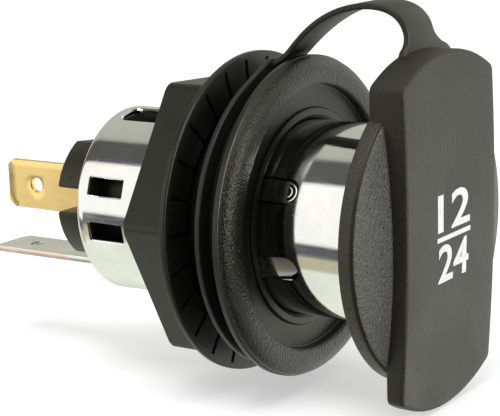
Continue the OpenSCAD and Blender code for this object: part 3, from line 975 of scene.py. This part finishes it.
def cap():
    maker = Maker()
    # Slot 3, on the grip's rear and sides, carries the painted shade
    plate(maker, grip_outline(), [], grip_front, grip_rear, (0.38, 0.3), step=1.3, arcs=5,
          slots=(0, 3, 3))
    dome = [(r, DISC_Z + DISC_T + DISC_CROWN * (1 - (r / DISC_R) ** 2))
            for r in (16.0, 14.5, 13.0, 11.5, 10.0, 5.0, 0.0)]
    corners = [(0.0, DISC_Z), (DISC_R, DISC_Z, 0.25), (DISC_R, DISC_Z + DISC_T, 0.6), *dome]
    disc = rounded(corners, 5, closed=False)

    # Slot 2 is the disc's front with painted light, slot 4 its side with painted shade, slot 1 the
    # plain rounding
    def disc_slot(i):
        r, z = (disc[i] + disc[i + 1]) / 2
        if z > DISC_Z + DISC_T - 0.02:
            return 2
        return 4 if r > DISC_R - 0.01 else 1

    columns = even(180)
    grid(maker, turned(disc, columns), disc_slot, closed=False)
    plug = [
        (9.05, DISC_Z + 0.4), (10.65, DISC_Z + 0.4), (10.65, DISC_Z, 0.1), (10.03, 12.65, 0.2),
        (9.63, 12.25, 0.15), (8.83, 12.25, 0.15), (8.43, 12.65, 0.2), (9.05, DISC_Z, 0.2),
    ]
    grid(maker, turned(rounded(plug, 4), columns[::2]), lambda i: 1)
    obj = maker.build("cap_moulding", [CAP_GRAIN, CAP_PLAIN, DISC_FRONT_LIT, CAP_SIDE_SHADED, DISC_EDGE_SHADED], 30)
    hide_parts("cap")
    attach(obj, "cap_body")


def print_text(maker, body, middle, height, width):
    """Prints plain figures of a height and a width on the grip's front."""
    curve = bpy.data.curves.new("figure", "FONT")
    curve.body = body
    curve.align_x = "CENTER"
    curve.offset = 0.018
    curve.resolution_u = 6
    holder = linked("figure", curve)
    bpy.context.view_layer.update()
    mesh = holder.evaluated_get(bpy.context.evaluated_depsgraph_get()).to_mesh()
    flat = np.array([v.co[:2] for v in mesh.vertices])
    low, high = flat.min(0), flat.max(0)
    flat = (flat - (low + high) / 2) * np.array([width, height]) / (high - low) + np.array(middle)
    polys = [list(p.vertices) for p in mesh.polygons]
    bpy.data.objects.remove(holder)
    front = [(x, y, grip_front(x, y) + PRINT_PROUD) for x, y in flat]
    back = [(x, y, grip_front(x, y) - PRINT_SUNK) for x, y in flat]
    for f in polys:
        maker.face([front[i] for i in f])
        maker.face([back[i] for i in f[::-1]])
    edges = dict.fromkeys((f[i - 1], f[i]) for f in polys for i in range(len(f)))
    for i, j in edges:
        if (j, i) not in edges:
            maker.face([front[i], back[i], back[j], front[j]])


def figures():
    """Plain numbers over and under a bar, printed on the grip."""
    maker = Maker()
    print_text(maker, "12", (0.2, 2.65), 4.3, 7.7)
    print_text(maker, "24", (0.2, -3.2), 4.3, 7.3)
    bar = [(-3.75, -0.6), (4.2, -0.6), (4.2, -0.05), (-3.75, -0.05)]
    plate(maker, bar, [], lambda x, y: grip_front(x, y) + PRINT_PROUD,
          lambda x, y: grip_front(x, y) - PRINT_SUNK, 0.004, arcs=1)
    obj = maker.build("cap_figures", [PRINT], 30)
    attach(obj, "cap_body")


# Strap: ring on the neck, and a looped band from the ring to the cap's top


def bezier(a, b, c, d, t):
    """A point of a cubic curve from a to d."""
    a, b, c, d = (np.array(p, float) for p in (a, b, c, d))
    return (1 - t) ** 3 * a + 3 * t * (1 - t) ** 2 * b + 3 * t * t * (1 - t) * c + t**3 * d


# Points (z, up) of the strap's line: on the ring, over the flange, at the top and on the cap
FOOT = (0.4, 17.2)
OVER = (3.05, 19.6)
CROWN = (13.98, 25.3)
END = (18.98, 21.1)


def strap_line():
    """Centre line points (z, up) with half the strap's width and its thickness behind and before."""
    thick = 0.35
    out = []
    for k in range(17):
        out.append((bezier(FOOT, (0.4, 18.3), (1.75, 18.3), OVER, k / 16), 2.45, thick, thick))
    for k in range(1, 41):
        p = bezier(OVER, (4.35, 20.9), (8.18, 25.3), CROWN, k / 40)
        t = min(1.0, k / 26)
        out.append((p, 2.45 + 0.55 * t * t * (3 - 2 * t), thick, thick))
    for k in range(1, 29):
        p = bezier(CROWN, (17.18, 25.3), (18.98, 23.9), END, k / 28)
        flare = max(0.0, 1.0 - (np.linalg.norm(np.array(END) - p) + 0.6) / 2.0)
        out.append((p, 3.0 + 1.8 * flare**2, thick, thick))
    for up, half, back in ((20.9, 4.12, 0.38), (20.7, 4.46, 0.43), (20.5, 4.85, 0.48),
                           (20.2, 5.2, 0.5), (19.9, 5.5, 0.5), (19.1, 5.5, 0.5)):
        out.append((np.array([END[0], up]), half, back, thick))
    return out


def band(name, part):
    """A band with rounded edges along part of the strap's line, its flare a little to one side."""
    maker = Maker()
    edge = 0.2
    rings = []
    for i, (p, half, back, fore) in enumerate(part):
        across = -left_of(part[min(i + 1, len(part) - 1)][0] - part[max(i - 1, 0)][0])
        ring = []
        for sx, sy, first in ((1, 1, 0), (-1, 1, 90), (-1, -1, 180), (1, -1, 270)):
            thick = back if sy > 0 else fore
            for k in range(4):
                t = math.radians(first + 30 * k)
                x = sx * (half - edge) + edge * math.cos(t) + 0.5 * max(0.0, half - 3.0)
                q = p + across * (sy * (thick - edge) + edge * math.sin(t))
                ring.append((x, q[1], q[0]))
        rings.append(ring)
    for a, b in zip(rings, rings[1:]):
        for j in range(len(a)):
            k = (j + 1) % len(a)
            maker.face([a[j], a[k], b[k], b[j]])
    maker.face(rings[0][::-1])
    maker.face(rings[-1])
    return maker.build(name, [CAP_PLAIN], 40)


def strap():
    line = strap_line()
    # The crown's point, where the lower band ends and the upper one starts
    split = 56
    lower = band("strap_lower", line[: split + 1])
    upper = band("strap_upper", line[split:])
    section = [(RING_BORE_R, 0.02, 0.12), (RING_R, 0.02, 0.18), (RING_R, RING_T, 0.18),
               (RING_BORE_R, RING_T, 0.12)]

    def root(r, a, z):
        """A point of the ring, drawn out to the strap's foot along tangents of the rim."""
        off = abs((a + math.pi / 2) % TURN - math.pi)
        reach = math.radians(25)
        grown = 1.0
        if off < reach:
            grown = min(1.0 / math.cos(reach - off), 18.85 / RING_R / math.cos(off))
        share = (r - RING_BORE_R) / (RING_R - RING_BORE_R)
        return polar(r + (grown - 1.0) * RING_R * share, a, z)

    ring = Maker()
    grid(ring, [[root(r, a, z) for a in even(400)] for r, z in rounded(section, 3)])
    hoop = ring.build("strap_ring", [CAP_PLAIN], 40)
    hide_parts("cap_strap")
    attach(hoop, "housing_body")
    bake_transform(lower)
    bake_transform(upper)


housing()
nut()
tube()
insulator()
positive()
ground()
contact()
cap()
figures()
strap()

# Camera at the photograph's angle, the light and the floor


def camera():
    data = bpy.data.cameras.new("camera")
    data.sensor_width = 36.0
    data.lens = 125.18
    data.clip_start = 0.01
    obj = linked("camera", data)
    azimuth, rise, roll = (math.radians(a) for a in (-55.75, 12.23, -1.88))
    east, north = math.cos(azimuth), math.sin(azimuth)
    back = Vector((north * math.cos(rise), -east * math.cos(rise), math.sin(rise)))
    right = Vector((east, north, 0))
    up = back.cross(right)
    side = right * math.cos(roll) + up * math.sin(roll)
    top = up * math.cos(roll) - right * math.sin(roll)
    place = Matrix((side, top, back)).transposed().to_4x4()
    place.translation = Vector((-0.16976, -0.11107, 0.04467))
    obj.matrix_world = place
    bpy.context.scene.camera = obj


def lamp(name, where, size, power):
    """A square lamp that faces the object."""
    data = bpy.data.lights.new(name, "AREA")
    data.shape = "SQUARE"
    data.size = size
    data.energy = power
    obj = linked(name, data)
    obj.location = where
    obj.rotation_mode = "QUATERNION"
    obj.rotation_quaternion = (-Vector(where)).to_track_quat("-Z", "Y")


def world():
    """White to the camera, even light on the object, and a studio of its own for gloss.

    Rays towards +Y see lights and screens by their angle about Y, as the tube reflects them. Rays
    towards -Y see a ramp along X and a strip light in front of the mouth.
    """
    made = bpy.data.worlds.new("studio")
    bpy.context.scene.world = made
    made.use_nodes = True
    made.node_tree.nodes.clear()
    net = Nodes(made.node_tree)
    calc, spread = net.calc, net.spread
    # Ramps hold values up to 1, so lights brighter than white are scaled down and back up
    bright = 1.8

    def ramp(value, stops):
        return net.tints(value, [(at, [t / bright for t in tint]) for at, tint in stops])

    generated = net.node("ShaderNodeTexCoord").outputs["Generated"]
    x, y, z = net.node("ShaderNodeSeparateXYZ", {0: generated}).outputs

    # For rays that go down, the lights lean with the ray's Y, as the foot of the tube shows them
    lean = calc("MULTIPLY", calc("SUBTRACT", calc("MAXIMUM", y, 0.46), 0.512), math.radians(70))
    swing = spread(y, 0.628, 0.648, 0.0, math.radians(14), "SMOOTHSTEP")
    lean = calc("MULTIPLY", calc("SUBTRACT", lean, swing), calc("LESS_THAN", z, 0.0))
    turn = calc("ADD", calc("ARCTAN2", z, x), lean)
    # Angles about Y, from +X over the top
    light, sand, pale = (1.2, 1.2, 1.15), (0.60, 0.57, 0.42), (0.95, 1.0, 0.88)
    stops = [
        (-180, (1.2, 1.2, 1.17)), (-163, light), (-159, (0.11, 0.12, 0.13)),
        (-147, (0.15, 0.16, 0.17)), (-145, sand), (-131, sand), (-127, pale), (-60, pale),
        (-15, (0.60, 0.62, 0.56)), (10, (0.56, 0.56, 0.50)), (88, (0.54, 0.55, 0.48)),
        (94, (0.46, 0.47, 0.41)), (98, (0.11, 0.11, 0.105)), (126, (0.11, 0.11, 0.11)),
        (129, light), (180, (1.2, 1.2, 1.17)),
    ]
    around = ramp(spread(turn, -math.pi, math.pi), [((a + 180) / 360, tint) for a, tint in stops])

    front = ramp(
        spread(x, -1.0, 1.0),
        [(0.0, (0.03, 0.03, 0.03)), (0.52, (0.04, 0.04, 0.04)), (0.74, (0.40, 0.40, 0.37)),
         (0.88, (1.20, 1.20, 1.14)), (1.0, (1.40, 1.40, 1.35))],
    )
    # The strip light is bent to the left at its middle, and fades out at both ends
    bend = calc("MULTIPLY", calc("ABSOLUTE", calc("ADD", z, 0.25)), 0.49)
    off = calc("ABSOLUTE", calc("SUBTRACT", x, calc("SUBTRACT", bend, 0.17)))
    glow = spread(off, 0.08, 0.28, 1.0, 0.0, "SMOOTHSTEP")
    glow = calc("MULTIPLY", glow, spread(z, -0.75, 0.0))
    glow = calc("MULTIPLY", glow, spread(z, 0.5, 0.7, 1.6, 0.0))
    front = net.node("ShaderNodeMix", {0: 1.0, 6: front, 7: glow}, data_type="RGBA",
                     blend_type="ADD").outputs[2]
    blend = spread(y, 0.0, 0.25, kind="SMOOTHSTEP")
    colour = net.node("ShaderNodeMix", {0: blend, 6: front, 7: around}, data_type="RGBA").outputs[2]

    # Towards -Y, the light from below is a little stronger than the rest
    lift = calc("SUBTRACT", spread(z, -0.12, -0.34, 0.92, 1.30), 1.0)
    lift = calc("MULTIPLY", lift, calc("SUBTRACT", 1.0, calc("GREATER_THAN", y, 0.0)))
    strength = calc("MULTIPLY", calc("ADD", lift, 1.0), bright)

    rays = net.node("ShaderNodeLightPath").outputs
    plain = (1, 1, 1, 1)
    white = net.node("ShaderNodeBackground", {"Color": plain, "Strength": 1.0})
    even_light = net.node("ShaderNodeBackground", {"Color": plain, "Strength": 0.75})
    gloss = net.node("ShaderNodeBackground", {"Color": colour, "Strength": strength})
    lit = net.mixed(rays["Is Glossy Ray"], even_light, gloss)
    seen = net.mixed(rays["Is Camera Ray"], lit, white)
    net.node("ShaderNodeOutputWorld", {"Surface": seen.outputs[0]})


def floor():
    """A pale floor that shows the object's shadow, lifted to near white for the camera."""
    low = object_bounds()[0].z - 0.0002
    reach = 3.0
    mesh = bpy.data.meshes.new("floor")
    corners = ((-1, -1), (1, -1), (1, 1), (-1, 1))
    mesh.from_pydata([(x * reach, y * reach, low) for x, y in corners], [], [(0, 1, 2, 3)])
    obj = linked("floor", mesh)
    mat = bpy.data.materials.new("floor")
    mat.use_nodes = True
    mat.node_tree.nodes.clear()
    net = Nodes(mat.node_tree)
    camera_ray = net.node("ShaderNodeLightPath").outputs["Is Camera Ray"]
    paper = net.node("ShaderNodeBsdfDiffuse", {"Color": (0.62, 0.62, 0.62, 1)})
    lift = net.node("ShaderNodeEmission", {"Color": (1, 1, 1, 1), "Strength": camera_ray})
    none = net.node("ShaderNodeEmission", {"Strength": 0.0})
    part = net.mixed(0.46, none, lift)
    both = net.node("ShaderNodeAddShader", {0: paper.outputs[0], 1: part.outputs[0]})
    net.node("ShaderNodeOutputMaterial", {"Surface": both.outputs[0]})
    mesh.materials.append(mat)
    obj.visible_glossy = False
    obj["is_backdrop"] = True


camera()
world()
floor()
lamp("key", (-0.30, -0.05, 0.78), 0.35, 3.5)
lamp("front", (0.02, -0.85, 0.18), 0.30, 5.0)
bpy.context.scene.view_settings.view_transform = "Standard"
